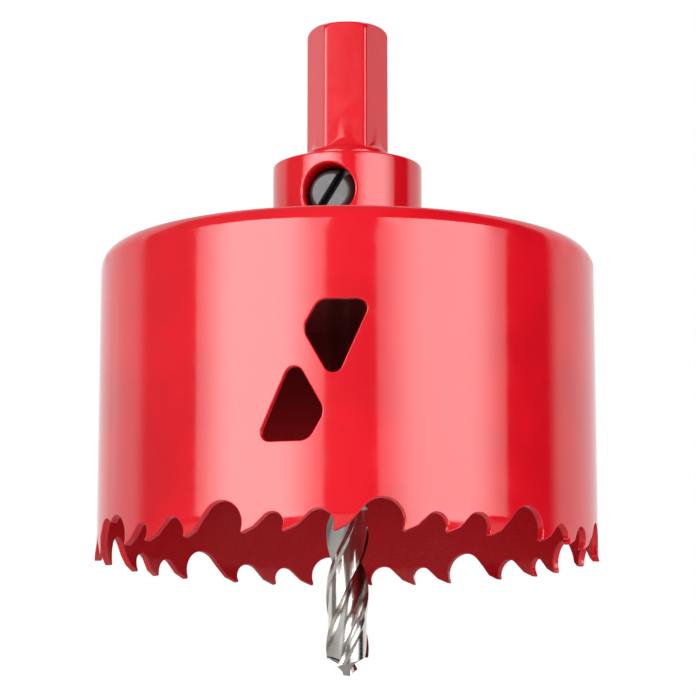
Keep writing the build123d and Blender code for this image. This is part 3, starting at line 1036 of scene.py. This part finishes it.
# %% [markdown]
# ## Camera
#
# A long lens keeps the sides of the cup nearly parallel, where a short one close to the tool would splay them. It
# stands a little below the teeth and looks up, so the inside of the cup shows over the near edge.

# %% Camera
LENS = 146.85
CAMERA_PLACE = (0.0, -0.4243, -0.1078)
CAMERA_TILT = 10.64
CAMERA_TURN = -0.0115

camera_data = bpy.data.cameras.new("camera")
camera_data.sensor_width = 36.0
camera_data.lens = LENS
camera_data.clip_end = 20.0
camera = bpy.data.objects.new("camera", camera_data)
camera.location = CAMERA_PLACE
camera.rotation_euler = (math.radians(90 + CAMERA_TILT), 0.0, math.radians(CAMERA_TURN))
bpy.context.scene.collection.objects.link(camera)
bpy.context.scene.camera = camera

# %% [markdown]
# ## Lamps
#
# Two softboxes stand beside the tool, and their reflections are the two bright bands on the wall. A glowing plane
# would do for one, but an area lamp can be kept out of the camera's sight. Its own nodes make it brightest in the
# middle, falling off to its two sides, so that the bands have soft edges.

# %% Lamps
SOFTBOX_DISTANCE = 1.2
SOFTBOX_ELEVATION = 13
SOFTBOX_HEIGHT = 0.47
EDGE_GLOW, MIDDLE_GLOW, GLOW_REACH = 0.35, 1.15, 0.35


def softbox(name, azimuth, width, power):
    """A flat lamp that looks at the tool, placed by its direction from it: azimuth 0 is the front."""
    lamp_data = bpy.data.lights.new(name, "AREA")
    lamp_data.shape = "RECTANGLE"
    lamp_data.size, lamp_data.size_y, lamp_data.energy = width, SOFTBOX_HEIGHT, power
    lamp = bpy.data.objects.new(name, lamp_data)
    rise = math.radians(SOFTBOX_ELEVATION)
    towards = around(azimuth)[0] * math.cos(rise) + np.array([0, 0, 1]) * math.sin(rise)
    lamp.location = [float(v) for v in towards * SOFTBOX_DISTANCE]
    lamp.rotation_euler = (math.pi / 2 - rise, 0, math.radians(azimuth))
    lamp.visible_camera = False
    glow = Tree(lamp_data)
    place = glow.node("ShaderNodeNewGeometry", {}, {}, "Parametric")
    across = glow.node("ShaderNodeSeparateXYZ", {}, {0: place})
    from_edge = across.maths("PINGPONG", across, 0.5)
    glow.fill(glow.tree.nodes["Emission"], {"Strength": from_edge.ramp(0.0, GLOW_REACH, EDGE_GLOW, MIDDLE_GLOW)})
    bpy.context.scene.collection.objects.link(lamp)


softbox("left_softbox", -40.75, 1.40, 11.6)
softbox("right_softbox", 44.5, 1.44, 9.6)

# %% [markdown]
# ## Floor and background
#
# The tool hangs over a white floor in a white room. Walls could be built for it, but one formula over the direction
# of a ray is simpler, and lets each kind of ray see its own room. The camera sees white.
# A glossy ray sees white behind the tool and dark in front of it, darker on the right than on the left, which gives
# the paint its dark bands. Everything else gets a weak even light.

# %% Floor and background
FLOOR_REACH, FLOOR_LEVEL = 4, -0.2
FILL_LIGHT = 0.15
WHITE_FROM = (0.22, 0.40)
DARK_FROM = (-0.1, 0.5)

floor_mesh = bpy.data.meshes.new("floor")
floor_corners = [(x * FLOOR_REACH, y * FLOOR_REACH, FLOOR_LEVEL) for x, y in ((-1, -1), (1, -1), (1, 1), (-1, 1))]
floor_mesh.from_pydata(floor_corners, [], [(0, 1, 2, 3)])
floor = bpy.data.objects.new("floor", floor_mesh)
bpy.context.scene.collection.objects.link(floor)
floor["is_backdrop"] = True
floor_mesh.materials.append(Finish("paper").set(Base_Color=(0.8, 0.8, 0.8, 1), Roughness=0.8))

world = bpy.data.worlds.new("studio")
bpy.context.scene.world = world
studio = Tree(world)
studio.fill(studio.tree.nodes["Background"], {"Color": (FILL_LIGHT, FILL_LIGHT, FILL_LIGHT, 1)})
room = Value(studio, studio.tree.nodes["Background"].outputs[0])


def light(red, green, blue):
    """Light of one colour from every side."""
    return studio.node("ShaderNodeBackground", {}, {"Color": (red, green, blue, 1)})


def choose(share, first, second):
    """The first light where the share is 0 and the second where it is 1."""
    return studio.node("ShaderNodeMixShader", {}, {0: share, 1: first, 2: second})


direction = studio.node("ShaderNodeTexCoord", {}, {}, "Generated")
to_the_right = studio.node("ShaderNodeSeparateXYZ", {}, {0: direction}, 0)
behind_tool = studio.node("ShaderNodeSeparateXYZ", {}, {0: direction}, 1)
dark = choose(to_the_right.ramp(*DARK_FROM), light(0.25, 0.24, 0.23), light(0.01, 0.01, 0.01))
white = light(1, 1, 1)
reflected = choose(behind_tool.ramp(*WHITE_FROM), dark, white)
shiny = choose(studio.node("ShaderNodeLightPath", {}, {}, "Is Glossy Ray"), room, reflected)
seen = choose(studio.node("ShaderNodeLightPath", {}, {}, "Is Camera Ray"), shiny, white)
studio.fill(studio.tree.nodes["World Output"], {0: seen})
bpy.context.scene.view_settings.view_transform = "Standard"

# %% [markdown]
# ## Finish
#
# Last, the box of the solids and the box of what is now visible are printed, in millimetres.

# %% Finish
sizes = {"cad": [list(v) for v in cad_box], "visual": [list(v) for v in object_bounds()]}
print("boxes, mm:", [[round(1000 * float(b - a), 1) for a, b in zip(*box)] for box in sizes.values()])
